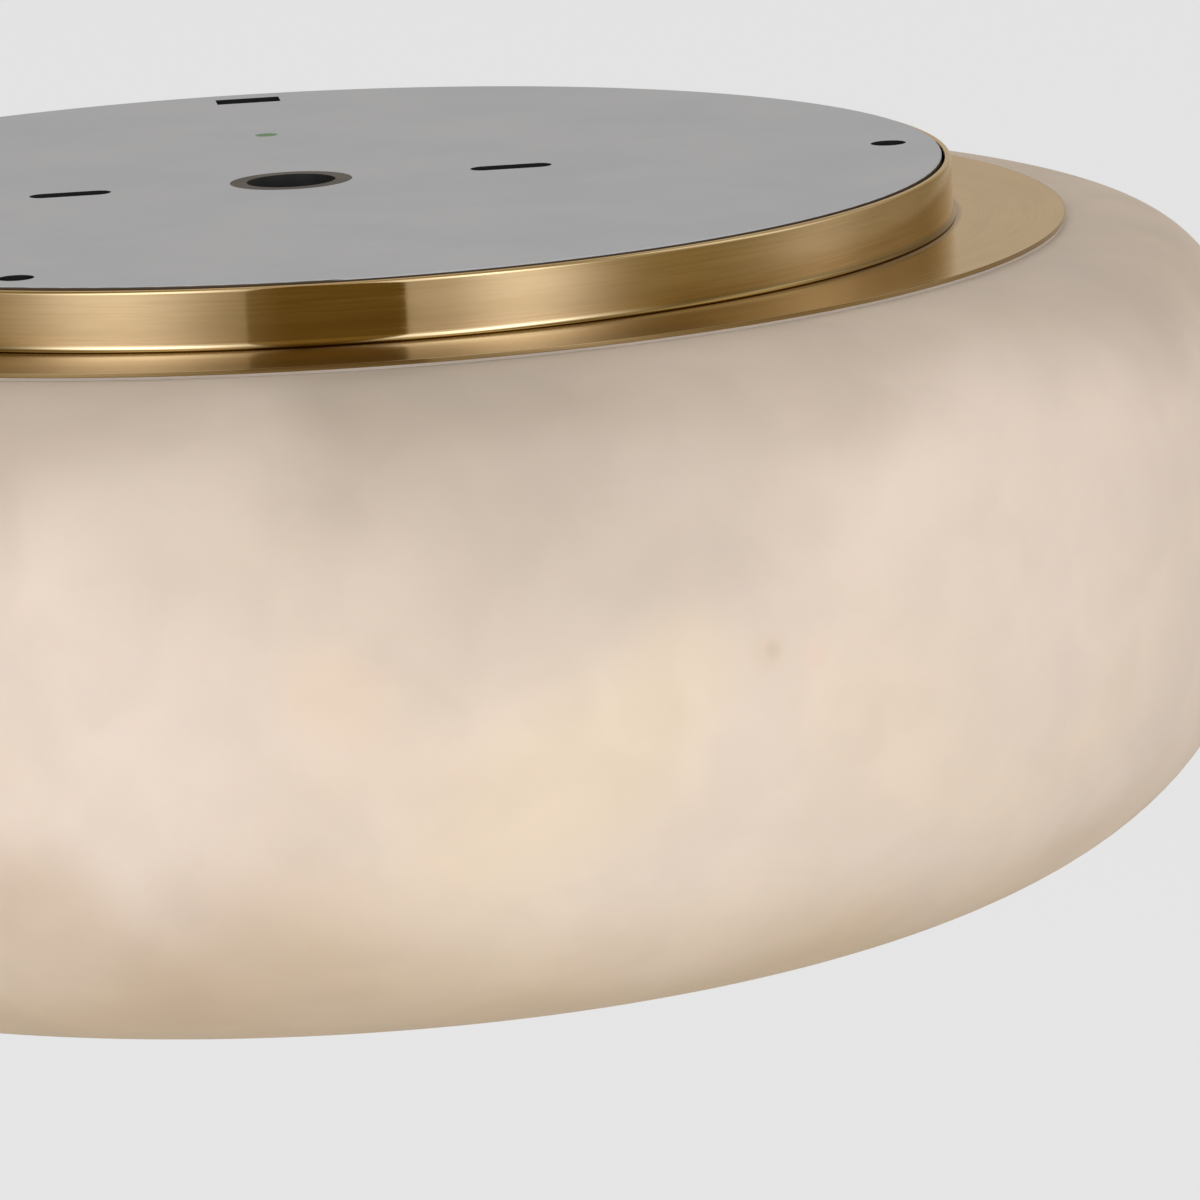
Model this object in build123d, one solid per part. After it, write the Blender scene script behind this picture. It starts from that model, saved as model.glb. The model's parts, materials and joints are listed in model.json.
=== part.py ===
from build123d import *
from math import cos, pi, radians, sin, sqrt
import os

# Flush mount ceiling light: a thick alabaster bowl under a brass flange and band, hung by a
# twist lock from a flat steel ceiling plate, with a light engine inside the bowl.
# Millimetres, +Z up. The ceiling face of the plate lies on z = 0 and everything hangs below.

# General clearances
press_gap = 0.05          # radial gap of a pressed, tapped or glued joint
screw_gap = 0.25          # radial gap of a screw in its clearance hole
hang_gap = 0.2            # between a hanger stud's head and the ring that it carries
turn_gap = 0.4            # radial gap between the ceiling plate and the band that turns round it

# Ceiling plate
plate_r = 116.8
plate_t = 2.0
plate_edge_round = 0.3
wire_hole_r = 11.0
box_screw_near = 69.9     # spacing of a small outlet box's two screws
box_screw_far = 88.9      # spacing of a large outlet box's two screws
box_slot_w = 5.2
rim_hole_count = 3
rim_hole_r = 3.2
rim_hole_inset = 8.6      # from the plate's edge to the centre of each fixing hole

# Wire bushing in the plate
bushing_wall = 3.0
bushing_flange_w = 3.0
bushing_flange_t = 2.0

# Hanger studs, welded under the plate
stud_count = 3
stud_circle_r = 76.0
stud_first_angle = 30.0
stud_neck_r = 2.5
stud_head_r = 4.75
stud_head_t = 2.2
twist_angle = 12.0        # turn that brings the studs from the slot ends to the key holes

# Ground screw of the plate
ground_y = 60.0           # distance from the centre, on +Y
ground_screw_r = 2.0
ground_head_r = 4.0
ground_head_h = 2.4
ground_washer_w = 1.0     # washer's rim beyond the head
ground_washer_t = 0.8

# Canopy band
band_wall = 1.3
band_top_drop = 0.5       # the band stays this far below the ceiling so that it can turn
band_h = 10.5
band_outer_round = 0.8
band_inner_round = 0.4
band_foot_round = 0.4
band_lip_t = 1.3
band_lip_inset = 7.0      # from the clamp screws' circle in to the lip's edge

# Shade flange
flange_reach = 20.0       # visible width outside the band
flange_t = 0.8
flange_edge_round = 0.25

# Gasket between flange and stone
gasket_inset = 2.5        # from the flange's edge in to the gasket's edge
gasket_t = 0.5

# Carrier ring, hung on the studs
carrier_inset = 7.2       # from the band's bore in to the ring's edge
carrier_t = 2.0
carrier_mouth_r = 50.0
key_hole_gap = 0.6        # radial gap of a stud head in its key hole
key_slot_gap = 0.3        # gap of a stud neck in its slot

# Alabaster bowl
shade_r = 171.5           # widest radius
shade_h = 123.7           # height of the stone
shade_equator_drop = 48.7 # from the stone's top face down to its widest circle
shade_shoulder_inset = 2.1  # from the flange's edge in to where the flat top starts to round over
shade_foot_r = 46.0       # radius of the flat underside
shade_top_fullness = 3.0
shade_bottom_fullness = 2.8
shade_mouth_inset = 6.0   # from the lip's edge in to the mouth in the stone
shade_mouth_round = 1.5
shade_wall = 12.0
shade_floor_t = 14.0
shade_lip_t = 16.0

# Screws that clamp the bowl, with their inserts in the stone
clamp_count = 6
clamp_inset = 9.0         # from the carrier ring's edge in to the screws' circle
clamp_screw_r = 2.45
clamp_screw_length = 16.0
clamp_head_r = 4.6
clamp_head_h = 3.0
clamp_washer_w = 0.4      # washer's rim beyond the head
clamp_washer_t = 0.8
insert_wall = 1.5
insert_length = 12.0
insert_hole_spare = 1.0   # the hole in the stone is this much deeper than the insert

# Light engine pan
pan_mouth_gap = 6.0       # all round, between the pan's flange and the mouth in the stone
pan_flange_w = 4.0
pan_t = 1.5
pan_depth = 9.0
pan_round = 2.0

# Standoffs between carrier ring and pan
standoff_count = 3
standoff_first_angle = 90.0
standoff_inset = 8.0      # from the pan's edge in to the standoffs' circle
standoff_flats = 7.0
standoff_length = 34.0
standoff_spigot_r = 2.4
engine_screw_r = 1.95
engine_screw_length = 8.0
engine_head_r = 3.5
engine_head_h = 2.2

# Light engine board
board_gap = 1.5           # between the board's edge and the heads of the engine screws
board_t = 1.6
emitter_l = 3.5
emitter_w = 2.8
emitter_h = 0.8
emitter_inset = 10.0      # from the board's edge in to the outermost ring of emitters
emitter_pitch = 18.5      # from ring to ring
emitter_counts = (24, 16, 8)
board_screw_count = 4
board_screw_first_angle = 40.0
small_screw_r = 1.45
small_head_r = 2.3
small_head_h = 1.6

# Diffuser under the board
diffuser_wall = 2.0
diffuser_inset = 3.0      # from the pan's edge in to the outside of the dish
diffuser_depth = 15.0
diffuser_corner = 9.0
diffuser_screw_count = 4
diffuser_screw_first_angle = 45.0
diffuser_screw_inset = 2.5  # from the flange's edge in to the screws' circle

# Driver on top of the pan
driver_l = 92.0
driver_w = 40.0
driver_h = 22.0
driver_y = 22.0           # centre of the driver
driver_round = 2.5
driver_ear_l = 8.0
driver_ear_w = 20.0
driver_ear_t = 3.0
driver_seam = 0.6         # groove between the case and its lid
driver_lid_t = 3.0

# Terminal block on top of the pan
block_l = 18.0
block_h = 15.0
block_y = -25.0           # centre of the block
block_poles = 3
block_pitch = 10.0
block_end = 7.0           # from the last pole to the block's end
block_round = 1.0
block_screw_r = 2.2
block_screw_recess = 2.0  # screws' tops below the block's top
block_slot_w = 0.8
block_entry_r = 1.9
block_entry_z = 7.5       # height of the wire entries over the pan
block_fixing_z = 4.5      # seat of the fixing screws over the pan

# Leads inside the bowl
mains_lead_r = 1.2
mains_inlet_z = 10.5      # height of the driver's inlet over the pan
mains_inlet_pitch = 8.0   # between the two leads at the inlet
mains_straight = 29.5     # run of each lead out of the block
mains_lift = 1.0          # rise of each lead from point to point
mains_swing = 11.0        # from the block's pole along Y to the start of the loop
mains_lean = 4.0          # the loop starts this much nearer the driver's end than its far side
mains_loop = 19.0         # from the driver's end out to the far side of the inner loop
mains_loop_step = 5.0     # from the inner to the outer loop
earth_straight = 14.5     # run of the earth lead out of the block
earth_swing = 7.0         # from the block's first pole along Y to the earth lead's last bend
led_lead_r = 0.9
led_lead_pitch = 3.0
led_outlet_y = 14.0       # from the driver's centre back along Y to the two leads' outlet
led_outlet_z = 10.0       # height of the driver's outlet over the pan
led_loop = 14.0           # from the driver's end out to the leads' turn
led_hole_angle = -30.0    # where the leads go down through pan and board
grommet_wall = 1.2
grommet_lip = 1.0

# Earth tag on top of the pan
earth_x = -30.0
earth_y = -62.0
earth_tag_r = 4.0
earth_tag_t = 0.8
earth_barrel_wall = 0.6
earth_barrel_l = 5.0
earth_neck_l = 1.5
earth_screw_r = 1.95
earth_head_r = 3.3

# Lock screw through the band, on +Y
lock_drop = 3.5           # screw's axis below the plate
lock_tab_w = 12.0
lock_tab_inset = 3.8      # from the plate's edge in to the tab's outer face
lock_tab_spare = 1.4      # the tab reaches this far below the screw
lock_tip_gap = 0.3        # screw tip to tab while the light is free to turn
lock_screw_r = 1.5
lock_running_gap = 0.06   # radial gap of the screw in its bush
lock_bush_gap = 0.9       # bush to tab
lock_bush_wall = 1.0
lock_collar_w = 0.4       # collar behind the band's wall
lock_collar_gap = 0.2     # collar to the curved wall
lock_head_r = 3.8
lock_head_l = 5.0
lock_head_gap = 0.3       # head to band
lock_head_bevel = 0.5
knurl_count = 20
knurl_depth = 0.35

# Radii that follow from the sizes above
band_bore_r = plate_r + turn_gap
band_r = band_bore_r + band_wall
flange_r = band_r + flange_reach
gasket_r = flange_r - gasket_inset
carrier_r = band_bore_r - carrier_inset
clamp_circle_r = carrier_r - clamp_inset
clamp_hole_r = clamp_screw_r + screw_gap
lip_r = clamp_circle_r - band_lip_inset
mouth_r = lip_r - shade_mouth_inset
shoulder_r = flange_r - shade_shoulder_inset
pan_flange_r = mouth_r - pan_mouth_gap
pan_r = pan_flange_r - pan_flange_w
standoff_circle_r = pan_r - standoff_inset
board_r = standoff_circle_r - engine_head_r - board_gap
emitter_r = board_r - emitter_inset
led_hole_x = (emitter_r - 1.5 * emitter_pitch) * cos(radians(led_hole_angle))
led_hole_y = (emitter_r - 1.5 * emitter_pitch) * sin(radians(led_hole_angle))
diffuser_r = pan_r - diffuser_inset
lock_tab_y = plate_r - lock_tab_inset

# Heights that follow from the sizes above
plate_under = -plate_t
band_top = -band_top_drop
band_foot = band_top - band_h
carrier_under = band_foot + band_lip_t
carrier_top = carrier_under + carrier_t
flange_under = band_foot - flange_t
stone_top = flange_under - gasket_t
stone_equator = stone_top - shade_equator_drop
stone_foot = stone_top - shade_h
lip_under = stone_top - shade_lip_t
pan_top = carrier_under - standoff_length
pan_under = pan_top - pan_t
pan_foot = pan_top - pan_depth
board_under = pan_under - board_t
lock_z = plate_under - lock_drop


def polar(circle_r, count, first_angle=0.0):
    """Places on a circle about Z, each turned to face outwards."""
    return [Rot(0, 0, first_angle + 360 * i / count) * Pos(circle_r, 0, 0) for i in range(count)]


def disc(r, top, thickness):
    """A round plate under the height top."""
    return Pos(0, 0, top - thickness / 2) * Cylinder(r, thickness)


def ring(outer_r, inner_r, top, thickness):
    """A flat ring under the height top."""
    return disc(outer_r, top, thickness) - disc(inner_r, top, thickness)


def drill(places, r, top, depth):
    """Round cutters at the places, from the height top downwards."""
    return [place * disc(r, top, depth) for place in places]


def spin(outline):
    """Turn a closed outline of radius and height about Z."""
    return revolve(Plane.XZ * outline, Axis.Z)


def rounded(outline, corner, radius):
    """Round the corner of an outline that lies at the given point."""
    chosen = [v for v in outline.vertices() if (Vector(v) - Vector(*corner)).length < 1e-3]
    return fillet(chosen, radius)


def screw(shank_r, length, head_r, head_h):
    """A pan head screw with a hexagon socket: the head above z = 0, the shank below."""
    head = Pos(0, 0, head_h / 2) * Cylinder(head_r, head_h)
    head = fillet(head.edges().group_by(Axis.Z)[-1], head_h * 0.4)
    socket = Pos(0, 0, head_h * 0.4) * extrude(RegularPolygon(head_r * 0.45, 6), head_h)
    return head + disc(shank_r, 0, length) - socket


def group(solids):
    """Equal pieces that share one node, each a solid of its own."""
    return Compound(children=list(solids))


def clamp_places():
    """Places of the screws that clamp the bowl."""
    return polar(clamp_circle_r, clamp_count)


def standoff_places():
    """Places of the standoffs."""
    return polar(standoff_circle_r, standoff_count, standoff_first_angle)


def board_screw_places():
    """Places of the board's screws, between the two outer rings of emitters."""
    return polar(emitter_r - emitter_pitch / 2, board_screw_count, board_screw_first_angle)


def diffuser_screw_places():
    """Places of the diffuser's screws on the pan's flange."""
    circle_r = pan_flange_r - diffuser_screw_inset
    return polar(circle_r, diffuser_screw_count, diffuser_screw_first_angle)


def driver_screw_places():
    """Places of the screws in the driver's two ears."""
    x = (driver_l + driver_ear_l) / 2
    return [Pos(side * x, driver_y, 0) for side in (-1, 1)]


def block_fixing_places():
    """Places of the terminal block's two fixing screws, between its poles."""
    return [Pos(0, block_y + side * block_pitch / 2, 0) for side in (-1, 1)]


def led_lead_places():
    """Where the two leads go down through pan and board."""
    return [Pos(led_hole_x, led_hole_y + side * led_lead_pitch / 2, 0) for side in (-1, 1)]


def mounting_plate():
    """Flat steel disc with outlet box slots, rim holes, a wire hole and the bent lock tab."""
    plate = disc(plate_r, 0, plate_t)
    plate = fillet(plate.edges(), plate_edge_round)
    plate -= disc(wire_hole_r, 0, plate_t)
    plate -= drill(polar(plate_r - rim_hole_inset, rim_hole_count), rim_hole_r, 0, plate_t)
    slot = SlotCenterToCenter((box_screw_far - box_screw_near) / 2, box_slot_w)
    slot_x = (box_screw_far + box_screw_near) / 4
    plate -= [Pos(x, 0, plate_under) * extrude(slot, plate_t) for x in (-slot_x, slot_x)]
    plate -= Pos(0, ground_y, 0) * disc(ground_screw_r + press_gap, 0, plate_t)
    tab_h = lock_drop + lock_screw_r + lock_tab_spare
    window_y = lock_tab_y - plate_t - tab_h / 2
    plate -= Pos(0, window_y, plate_under / 2) * Box(lock_tab_w, tab_h, plate_t)
    tab = Pos(0, lock_tab_y - plate_t / 2, plate_under - tab_h / 2) * Box(lock_tab_w, plate_t, tab_h)
    return plate + fillet(tab.edges().filter_by(Axis.Y).group_by(Axis.Z)[0], plate_t)


def wire_bushing():
    """Snap bushing: a flange under the plate and a barrel that ends flush with its top."""
    body = disc(wire_hole_r + bushing_flange_w, plate_under, bushing_flange_t)
    body = fillet(body.edges().group_by(Axis.Z)[0], bushing_flange_t / 2)
    body += disc(wire_hole_r - press_gap, 0, plate_t)
    return body - disc(wire_hole_r - bushing_wall, 0, plate_t + bushing_flange_t)


def hanger_studs():
    """Shouldered studs: the neck passes the carrier ring's slot, the head carries the ring."""
    neck_length = plate_under - carrier_under + hang_gap
    neck = disc(stud_neck_r, plate_under, neck_length)
    head = disc(stud_head_r, plate_under - neck_length, stud_head_t)
    head = chamfer(head.edges().group_by(Axis.Z)[0], stud_head_t / 3)
    return group(p * (neck + head) for p in polar(stud_circle_r, stud_count, stud_first_angle))


def ground_screw():
    """Screw up into the plate from below, its end flush with the ceiling face."""
    body = screw(ground_screw_r, plate_t + ground_washer_t, ground_head_r, ground_head_h)
    return Pos(0, ground_y, plate_under - ground_washer_t) * Rot(180, 0, 0) * body


def ground_washer():
    """Washer between the ground screw's head and the plate."""
    outer_r, bore_r = ground_head_r + ground_washer_w, ground_screw_r + screw_gap
    return Pos(0, ground_y, 0) * ring(outer_r, bore_r, plate_under, ground_washer_t)


def lock_bar(r, y_from, y_to):
    """A round bar along the lock screw's axis."""
    bar = Cylinder(r, y_to - y_from, align=(Align.CENTER, Align.CENTER, Align.MIN))
    return Pos(0, y_from, lock_z) * Rot(-90, 0, 0) * bar


def canopy_band():
    """Brass band round the plate, with an inward lip that the carrier ring clamps."""
    outline = make_face(Polyline(
        (lip_r, band_foot), (band_r, band_foot), (band_r, band_top), (band_bore_r, band_top),
        (band_bore_r, carrier_under), (lip_r, carrier_under), close=True))
    outline = rounded(outline, (band_r, band_top), band_outer_round)
    outline = rounded(outline, (band_bore_r, band_top), band_inner_round)
    outline = rounded(outline, (band_r, band_foot), band_foot_round)
    band = spin(outline) - drill(clamp_places(), clamp_hole_r, carrier_under, band_lip_t)
    bush_r = lock_screw_r + lock_running_gap + lock_bush_wall
    return band - lock_bar(bush_r + press_gap, band_bore_r - band_wall, band_r + band_wall)


def shade_flange():
    """Flat brass ring on top of the bowl, wider than the band, with a softened edge."""
    flange = disc(flange_r, band_foot, flange_t)
    flange = fillet(flange.edges(), flange_edge_round) - disc(lip_r, band_foot, flange_t)
    return flange - drill(clamp_places(), clamp_hole_r, band_foot, flange_t)


def shade_gasket():
    """Thin rubber ring that keeps the brass off the stone."""
    gasket = ring(gasket_r, lip_r, flange_under, gasket_t)
    return gasket - drill(clamp_places(), clamp_hole_r, flange_under, gasket_t)


def carrier_ring():
    """Steel ring with a keyhole slot for each stud, clamped on the band's lip."""
    body = ring(carrier_r, carrier_mouth_r, carrier_top, carrier_t)
    body -= drill(clamp_places(), clamp_hole_r, carrier_top, carrier_t)
    body -= drill(standoff_places(), standoff_spigot_r + press_gap, carrier_top, carrier_t)
    path = CenterArc((0, 0), stud_circle_r, 0, twist_angle)
    keyhole = SlotArc(path, 2 * (stud_neck_r + key_slot_gap))
    keyhole += Rot(0, 0, twist_angle) * Pos(stud_circle_r, 0) * Circle(stud_head_r + key_hole_gap)
    keyhole = Pos(0, 0, carrier_under) * extrude(keyhole, carrier_t)
    return body - [place * keyhole for place in polar(0, stud_count, stud_first_angle)]


def biarc(start, start_way, end, end_way):
    """Two tangent arcs from start to end that leave and arrive along the given ways."""
    span, ways = end - start, start_way + end_way
    bend = 2 * (1 - start_way.dot(end_way))
    reach = (sqrt(span.dot(ways) ** 2 + bend * span.dot(span)) - span.dot(ways)) / bend
    middle = (start + end + (start_way - end_way) * reach) * 0.5
    return [TangentArc(start, middle, tangent=start_way), TangentArc(end, middle, tangent=end_way * -1)]


def full_curve(start, end, fullness, pieces=2):
    """Arcs along a quarter of a superellipse that leaves start level and reaches end upright."""
    width, height = end[0] - start[0], end[1] - start[1]
    stops = []
    for i in range(pieces + 1):
        turn = pi / 2 * i / pieces
        across, up = sin(turn) ** (2 / fullness), cos(turn) ** (2 / fullness)
        way = Vector(width * up ** (fullness - 1), height * across ** (fullness - 1)).normalized()
        stops.append((Vector(start[0] + width * across, end[1] - height * up), way))
    return [arc for a, b in zip(stops, stops[1:]) for arc in biarc(*a, *b)]


def bowl_outline():
    """Section of the stone: flat top, round shoulder, full belly, even wall, closed floor."""
    floor, inner_shoulder_r = stone_foot + shade_floor_t, shoulder_r - shade_wall
    belly, inner_belly = (shade_r, stone_equator), (shade_r - shade_wall, stone_equator)
    return make_face([
        Line((mouth_r, stone_top), (shoulder_r, stone_top)),
        *full_curve((shoulder_r, stone_top), belly, shade_top_fullness),
        *full_curve((shade_foot_r, stone_foot), belly, shade_bottom_fullness),
        Polyline((shade_foot_r, stone_foot), (0, stone_foot), (0, floor), (shade_foot_r, floor)),
        *full_curve((shade_foot_r, floor), inner_belly, shade_bottom_fullness),
        *full_curve((inner_shoulder_r, lip_under), inner_belly, shade_top_fullness),
        Polyline((inner_shoulder_r, lip_under), (mouth_r, lip_under), (mouth_r, stone_top)),
    ])


def insert_hole_r():
    """Radius of the stone's holes for the inserts."""
    return clamp_screw_r + press_gap + insert_wall + press_gap


def alabaster_shade():
    """The bowl, turned and bored from one block, with blind holes for the inserts."""
    outline = rounded(bowl_outline(), (mouth_r, stone_top), shade_mouth_round)
    outline = rounded(outline, (mouth_r, lip_under), shade_mouth_round)
    depth = insert_length + insert_hole_spare
    return spin(outline) - drill(clamp_places(), insert_hole_r(), stone_top, depth)


def stone_inserts():
    """Threaded brass inserts glued in the stone."""
    body = ring(insert_hole_r() - press_gap, clamp_screw_r + press_gap, stone_top, insert_length)
    return group(p * body for p in clamp_places())


def shade_washers():
    """Washers on the carrier ring."""
    washer_top = carrier_top + clamp_washer_t
    body = ring(clamp_head_r + clamp_washer_w, clamp_hole_r, washer_top, clamp_washer_t)
    return group(p * body for p in clamp_places())


def shade_screws():
    """Screws through ring, lip, flange and gasket into the inserts."""
    body = screw(clamp_screw_r, clamp_screw_length, clamp_head_r, clamp_head_h)
    return group(p * Pos(0, 0, carrier_top + clamp_washer_t) * body for p in clamp_places())


def standoffs():
    """Hexagon pillars riveted in the carrier ring, tapped from below for the engine screws."""
    hexagon = RegularPolygon(standoff_flats / 2, 6, major_radius=False)
    bar = Pos(0, 0, pan_top) * extrude(hexagon, standoff_length)
    bar += disc(standoff_spigot_r, carrier_top, carrier_t)
    bar -= disc(engine_screw_r + press_gap, pan_top + engine_screw_length, engine_screw_length)
    return group(p * bar for p in standoff_places())


def led_pan():
    """Spun aluminium pan that carries the board below and the driver above."""
    outline = make_face(Polyline(
        (0, pan_top), (pan_r, pan_top), (pan_r, pan_foot + pan_t), (pan_flange_r, pan_foot + pan_t),
        (pan_flange_r, pan_foot), (pan_r - pan_t, pan_foot), (pan_r - pan_t, pan_under),
        (0, pan_under), close=True))
    body = spin(rounded(outline, (pan_r, pan_top), pan_round))
    body -= drill(standoff_places(), engine_screw_r + screw_gap, pan_top, pan_t)
    tapped = board_screw_places() + driver_screw_places() + block_fixing_places()
    body -= drill(tapped, small_screw_r + press_gap, pan_top, pan_t)
    body -= drill(diffuser_screw_places(), small_screw_r + press_gap, pan_foot + pan_t, pan_t)
    body -= Pos(earth_x, earth_y, 0) * disc(earth_screw_r + press_gap, pan_top, pan_t)
    return body - grommet_bar(grommet_wall + press_gap, pan_top, pan_t)


def engine_screws():
    """Screws from below that hang the pan on the standoffs."""
    body = Rot(180, 0, 0) * screw(engine_screw_r, engine_screw_length, engine_head_r, engine_head_h)
    return group(p * Pos(0, 0, pan_under) * body for p in standoff_places())


def led_board():
    """Round board under the pan, with holes for its screws and for the two leads."""
    body = disc(board_r, pan_under, board_t)
    body -= drill(board_screw_places(), small_screw_r + screw_gap, pan_under, board_t)
    return body - drill(led_lead_places(), led_lead_r + press_gap, pan_under, board_t)


def led_emitters():
    """Rings of small emitters on the underside of the board."""
    chip = Pos(0, 0, board_under - emitter_h / 2) * Box(emitter_w, emitter_l, emitter_h)
    rings = [polar(emitter_r - i * emitter_pitch, count) for i, count in enumerate(emitter_counts)]
    return group(place * chip for places in rings for place in places)


def board_screws():
    """Screws up through the board into the pan, flush with its top."""
    body = Rot(180, 0, 0) * screw(small_screw_r, board_t + pan_t, small_head_r, small_head_h)
    return group(p * Pos(0, 0, board_under) * body for p in board_screw_places())


def diffuser():
    """Opal dish under the board, with a flat flange screwed to the pan's flange."""
    flange_foot = pan_foot - diffuser_wall
    foot = pan_foot - diffuser_depth
    inner_r, inner_foot = diffuser_r - diffuser_wall, foot + diffuser_wall
    outline = make_face(Polyline(
        (inner_r, pan_foot), (pan_flange_r, pan_foot), (pan_flange_r, flange_foot),
        (diffuser_r, flange_foot), (diffuser_r, foot), (0, foot), (0, inner_foot),
        (inner_r, inner_foot), close=True))
    outline = rounded(outline, (diffuser_r, foot), diffuser_corner)
    outline = rounded(outline, (inner_r, inner_foot), diffuser_corner - diffuser_wall)
    holes = drill(diffuser_screw_places(), small_screw_r + screw_gap, pan_foot, diffuser_wall)
    return spin(outline) - holes


def diffuser_screws():
    """Screws up through the diffuser's flange into the pan's flange."""
    body = Rot(180, 0, 0) * screw(small_screw_r, diffuser_wall + pan_t, small_head_r, small_head_h)
    return group(p * Pos(0, 0, pan_foot - diffuser_wall) * body for p in diffuser_screw_places())


def led_driver():
    """Closed moulded case with a seam under its lid and a screw ear at each end."""
    case = Pos(0, driver_y, pan_top + driver_h / 2) * Box(driver_l, driver_w, driver_h)
    case = fillet(case.edges().filter_by(Axis.Z) + case.edges().group_by(Axis.Z)[-1], driver_round)
    seam = Box(driver_l, driver_w, driver_seam)
    seam -= Box(driver_l - 2 * driver_seam, driver_w - 2 * driver_seam, driver_seam)
    case -= Pos(0, driver_y, pan_top + driver_h - driver_lid_t) * seam
    ears = Box(driver_l + 2 * driver_ear_l, driver_ear_w, driver_ear_t)
    ears = fillet(ears.edges().filter_by(Axis.Z), driver_round)
    case += Pos(0, driver_y, pan_top + driver_ear_t / 2) * ears
    ear_top = pan_top + driver_ear_t
    return case - drill(driver_screw_places(), small_screw_r + screw_gap, ear_top, driver_ear_t)


def driver_screws():
    """Screws down through the driver's ears, flush with the pan's underside."""
    body = screw(small_screw_r, driver_ear_t + pan_t, small_head_r, small_head_h)
    return group(p * Pos(0, 0, pan_top + driver_ear_t) * body for p in driver_screw_places())


def pole_y(index):
    """Distance along Y of one of the terminal block's poles."""
    return block_y + block_pitch * (index - (block_poles - 1) / 2)


def block_wells():
    """Places of the clamping screws, two for each pole."""
    return [Pos(x, pole_y(i), 0) for i in range(block_poles) for x in (-block_l / 4, block_l / 4)]


def terminal_block():
    """Moulded block with two screw wells and a through wire entry for each pole."""
    block_w = block_pitch * (block_poles - 1) + 2 * block_end
    top, entry_z = pan_top + block_h, pan_top + block_entry_z
    body = Pos(0, block_y, pan_top + block_h / 2) * Box(block_l, block_w, block_h)
    body = fillet(body.edges().filter_by(Axis.Z), block_round)
    entry = Rot(0, 90, 0) * Cylinder(block_entry_r, block_l)
    body -= [Pos(0, pole_y(i), entry_z) * entry for i in range(block_poles)]
    body -= drill(block_wells(), block_screw_r + press_gap, top, block_h - block_entry_z)
    body -= drill(block_fixing_places(), small_screw_r + screw_gap, top, block_h)
    return body - drill(block_fixing_places(), small_head_r + screw_gap, top, block_h - block_fixing_z)


def block_screws():
    """Screws down through the block, flush with the pan's underside."""
    body = screw(small_screw_r, block_fixing_z + pan_t, small_head_r, small_head_h)
    return group(p * Pos(0, 0, pan_top + block_fixing_z) * body for p in block_fixing_places())


def terminal_screws():
    """Slotted clamping screws in the block's wells, down to the wire entries."""
    top = pan_top + block_h - block_screw_recess
    body = disc(block_screw_r, top, top - pan_top - block_entry_z - block_entry_r)
    body -= Pos(0, 0, top) * Box(2 * block_screw_r, block_slot_w, 2 * block_slot_w)
    return group(p * body for p in block_wells())


def grommet_bar(margin, top, depth):
    """Slot shape round both leads, wider than them by the margin, under the height top."""
    sketch = SlotCenterToCenter(led_lead_pitch, 2 * (led_lead_r + press_gap + margin), rotation=90)
    return Pos(led_hole_x, led_hole_y, top - depth) * extrude(sketch, depth)


def lead_grommet():
    """Rubber grommet in the pan, with a lip above it."""
    body = grommet_bar(grommet_wall, pan_top, pan_t)
    lip_top = pan_top + grommet_lip
    body += grommet_bar(grommet_wall + grommet_lip, lip_top, grommet_lip)
    return body - drill(led_lead_places(), led_lead_r + press_gap, lip_top, pan_t + grommet_lip)


def lead(points, r):
    """A round lead along straight runs joined by tangent arcs, each as large as its runs allow."""
    route = [Vector(*p) for p in points]
    radii = []
    for before, corner, after in zip(route, route[1:], route[2:]):
        shorter = min((corner - before).length, (after - corner).length)
        turn = radians((corner - before).get_angle(after - corner))
        radii.append(0.45 * shorter * cos(turn / 2) / sin(turn / 2))
    path = FilletPolyline(*route, radius=radii)
    print(f"lead {path.length:.0f} mm long, bend radii", [round(b, 1) for b in radii])
    return sweep(Plane(origin=path @ 0, z_dir=path % 0) * Circle(r), path)


def mains_leads():
    """Live and neutral from the terminal block round to the driver's inlet end."""
    start_x, start_z = -block_l / 4, pan_top + block_entry_z
    end_x, end_z = -driver_l / 2, pan_top + mains_inlet_z
    leads = []
    for i, pole in enumerate((2, 1)):
        y, end_y = pole_y(pole), driver_y + mains_inlet_pitch * i
        far_x = end_x - mains_loop - mains_loop_step * i
        leads.append(lead([
            (start_x, y, start_z),
            (start_x - mains_straight, y + 2 * mains_lift, start_z + mains_lift),
            (far_x + mains_lean, y + mains_swing, start_z + 2 * mains_lift),
            (far_x, end_y, end_z),
            (end_x, end_y, end_z)], mains_lead_r))
    return group(leads)


def earth_lead():
    """From the block's first pole down into the barrel of the earth tag."""
    start_z, tag_z = pan_top + block_entry_z, pan_top + mains_lead_r + press_gap + earth_barrel_wall
    y, tag_y = pole_y(0), earth_y + earth_tag_r + earth_neck_l
    return lead([
        (-block_l / 4, y, start_z),
        (-block_l / 4 - earth_straight, y - mains_lift, start_z - mains_lift),
        (earth_x, y - earth_swing, tag_z),
        (earth_x, tag_y, tag_z)], mains_lead_r)


def earth_tag():
    """Ring terminal under the earth screw, with the barrel that grips the lead."""
    barrel_r = mains_lead_r + press_gap + earth_barrel_wall
    reach = earth_tag_r + earth_neck_l
    tag = ring(earth_tag_r, earth_screw_r + screw_gap, earth_tag_t, earth_tag_t)
    neck = Pos(0, (earth_screw_r + screw_gap + reach) / 2, earth_tag_t / 2)
    tag += neck * Box(earth_tag_r, reach - earth_screw_r - screw_gap, earth_tag_t)
    barrel = Cylinder(barrel_r, earth_barrel_l) - Cylinder(barrel_r - earth_barrel_wall, earth_barrel_l)
    tag += Pos(0, reach + earth_barrel_l / 2, barrel_r) * Rot(90, 0, 0) * barrel
    return Pos(earth_x, earth_y, pan_top) * tag


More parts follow.
